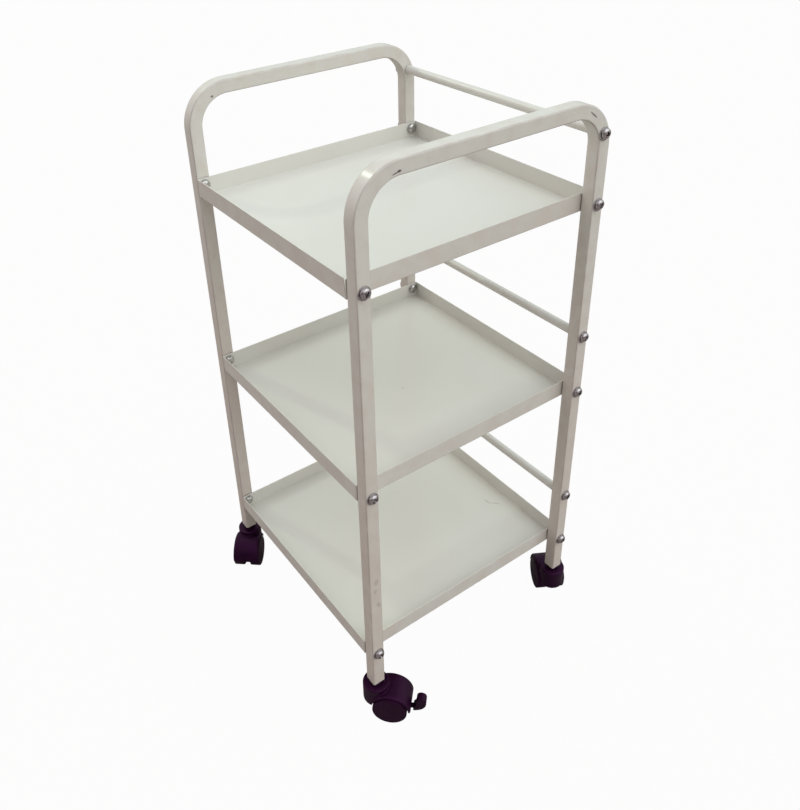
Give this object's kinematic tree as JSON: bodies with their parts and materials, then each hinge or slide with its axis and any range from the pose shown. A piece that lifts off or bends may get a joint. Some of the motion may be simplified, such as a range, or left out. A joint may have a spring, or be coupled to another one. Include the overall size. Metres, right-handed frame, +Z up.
{
  "type": "rolling salon trolley",
  "caption": "Open square-tube trolley with folded sheet trays between inverted-U frames, rear guard rods, and twin-wheel swivel casters with brake pedals.",
  "frame": {"origin": "on the floor, at the middle of the foot of the whole object's box", "axes": "+X from the left frame to the right frame, +Y from the open front to the side with the guard rods, +Z up"},
  "size_m": [0.4912, 0.4486, 0.8415],
  "materials": {
    "frame_paint": "off-white powder coat, semi-gloss",
    "tray_paint": "off-white powder coat, semi-gloss",
    "rod_paint": "off-white powder coat, semi-gloss",
    "screw_zinc": "bright zinc plate",
    "nut_zinc": "bright zinc plate",
    "hood_plastic": "satin moulded black",
    "wheel_plastic": "satin moulded black",
    "pedal_plastic": "satin moulded black",
    "socket_plastic": "satin moulded black",
    "axle_steel": "plain steel"
  },
  "bodies": {
    "chassis": {"left_frame": "frame_paint", "right_frame": "frame_paint", "bottom_tray": "tray_paint", "bottom_rod": "rod_paint", "bottom_rod_screw_left": "screw_zinc", "bottom_tray_screw_front_left": "screw_zinc", "bottom_cap_nut_front_left": "nut_zinc", "bottom_tray_screw_rear_left": "screw_zinc", "bottom_cap_nut_rear_left": "nut_zinc", "bottom_rod_screw_right": "screw_zinc", "bottom_tray_screw_front_right": "screw_zinc", "bottom_cap_nut_front_right": "nut_zinc", "bottom_tray_screw_rear_right": "screw_zinc", "bottom_cap_nut_rear_right": "nut_zinc", "middle_tray": "tray_paint", "middle_rod": "rod_paint", "middle_rod_screw_left": "screw_zinc", "middle_tray_screw_front_left": "screw_zinc", "middle_cap_nut_front_left": "nut_zinc", "middle_tray_screw_rear_left": "screw_zinc", "middle_cap_nut_rear_left": "nut_zinc", "middle_rod_screw_right": "screw_zinc", "middle_tray_screw_front_right": "screw_zinc", "middle_cap_nut_front_right": "nut_zinc", "middle_tray_screw_rear_right": "screw_zinc", "middle_cap_nut_rear_right": "nut_zinc", "top_tray": "tray_paint", "top_rod": "rod_paint", "top_rod_screw_left": "screw_zinc", "top_tray_screw_front_left": "screw_zinc", "top_cap_nut_front_left": "nut_zinc", "top_tray_screw_rear_left": "screw_zinc", "top_cap_nut_rear_left": "nut_zinc", "top_rod_screw_right": "screw_zinc", "top_tray_screw_front_right": "screw_zinc", "top_cap_nut_front_right": "nut_zinc", "top_tray_screw_rear_right": "screw_zinc", "top_cap_nut_rear_right": "nut_zinc", "front_right_stem": "socket_plastic", "rear_right_stem": "socket_plastic", "front_left_stem": "socket_plastic", "rear_left_stem": "socket_plastic"},
    "front_right_swivel": {"front_right_caster_hood": "hood_plastic", "front_right_axle": "axle_steel"},
    "front_right_roller_a": {"front_right_wheel_a": "wheel_plastic"},
    "front_right_roller_b": {"front_right_wheel_b": "wheel_plastic"},
    "front_right_brake": {"front_right_brake_pedal": "pedal_plastic"},
    "rear_right_swivel": {"rear_right_caster_hood": "hood_plastic", "rear_right_axle": "axle_steel"},
    "rear_right_roller_a": {"rear_right_wheel_a": "wheel_plastic"},
    "rear_right_roller_b": {"rear_right_wheel_b": "wheel_plastic"},
    "front_left_swivel": {"front_left_caster_hood": "hood_plastic", "front_left_axle": "axle_steel"},
    "front_left_roller_a": {"front_left_wheel_a": "wheel_plastic"},
    "front_left_roller_b": {"front_left_wheel_b": "wheel_plastic"},
    "rear_left_swivel": {"rear_left_caster_hood": "hood_plastic", "rear_left_axle": "axle_steel"},
    "rear_left_roller_a": {"rear_left_wheel_a": "wheel_plastic"},
    "rear_left_roller_b": {"rear_left_wheel_b": "wheel_plastic"},
    "rear_left_brake": {"rear_left_brake_pedal": "pedal_plastic"}
  },
  "joints": [
    {"name": "front_right_swivel_turn", "type": "hinge", "parent": "chassis", "child": "front_right_swivel", "pos_m": [0.1895, -0.1745, 0.055], "axis": [0, 0, 1], "continuous": true},
    {"name": "front_right_wheel_a_spin", "type": "hinge", "parent": "front_right_swivel", "child": "front_right_roller_a", "pos_m": [0.20484, -0.15915, 0.025], "axis": [-0.7071, 0.7071, 0], "continuous": true},
    {"name": "front_right_wheel_b_spin", "type": "hinge", "parent": "front_right_swivel", "child": "front_right_roller_b", "pos_m": [0.20484, -0.15915, 0.025], "axis": [-0.7071, 0.7071, 0], "continuous": true},
    {"name": "front_right_brake_press", "type": "hinge", "parent": "front_right_swivel", "child": "front_right_brake", "pos_m": [0.21814, -0.14586, 0.036], "axis": [-0.7071, 0.7071, 0], "range_deg": [0, 12]},
    {"name": "rear_right_swivel_turn", "type": "hinge", "parent": "chassis", "child": "rear_right_swivel", "pos_m": [0.1895, 0.18, 0.055], "axis": [0, 0, 1], "continuous": true},
    {"name": "rear_right_wheel_a_spin", "type": "hinge", "parent": "rear_right_swivel", "child": "rear_right_roller_a", "pos_m": [0.17071, 0.19085, 0.025], "axis": [-0.5, -0.866, 0], "continuous": true},
    {"name": "rear_right_wheel_b_spin", "type": "hinge", "parent": "rear_right_swivel", "child": "rear_right_roller_b", "pos_m": [0.17071, 0.19085, 0.025], "axis": [-0.5, -0.866, 0], "continuous": true},
    {"name": "front_left_swivel_turn", "type": "hinge", "parent": "chassis", "child": "front_left_swivel", "pos_m": [-0.1895, -0.1745, 0.055], "axis": [0, 0, 1], "continuous": true},
    {"name": "front_left_wheel_a_spin", "type": "hinge", "parent": "front_left_swivel", "child": "front_left_roller_a", "pos_m": [-0.173, -0.18859, 0.025], "axis": [0.6494, 0.7604, 0], "continuous": true},
    {"name": "front_left_wheel_b_spin", "type": "hinge", "parent": "front_left_swivel", "child": "front_left_roller_b", "pos_m": [-0.173, -0.18859, 0.025], "axis": [0.6494, 0.7604, 0], "continuous": true},
    {"name": "rear_left_swivel_turn", "type": "hinge", "parent": "chassis", "child": "rear_left_swivel", "pos_m": [-0.1895, 0.18, 0.055], "axis": [0, 0, 1], "continuous": true},
    {"name": "rear_left_wheel_a_spin", "type": "hinge", "parent": "rear_left_swivel", "child": "rear_left_roller_a", "pos_m": [-0.20484, 0.16466, 0.025], "axis": [0.7071, -0.7071, 0], "continuous": true},
    {"name": "rear_left_wheel_b_spin", "type": "hinge", "parent": "rear_left_swivel", "child": "rear_left_roller_b", "pos_m": [-0.20484, 0.16466, 0.025], "axis": [0.7071, -0.7071, 0], "continuous": true},
    {"name": "rear_left_brake_press", "type": "hinge", "parent": "rear_left_swivel", "child": "rear_left_brake", "pos_m": [-0.21814, 0.15137, 0.036], "axis": [0.7071, -0.7071, 0], "range_deg": [0, 12]}
  ]
}
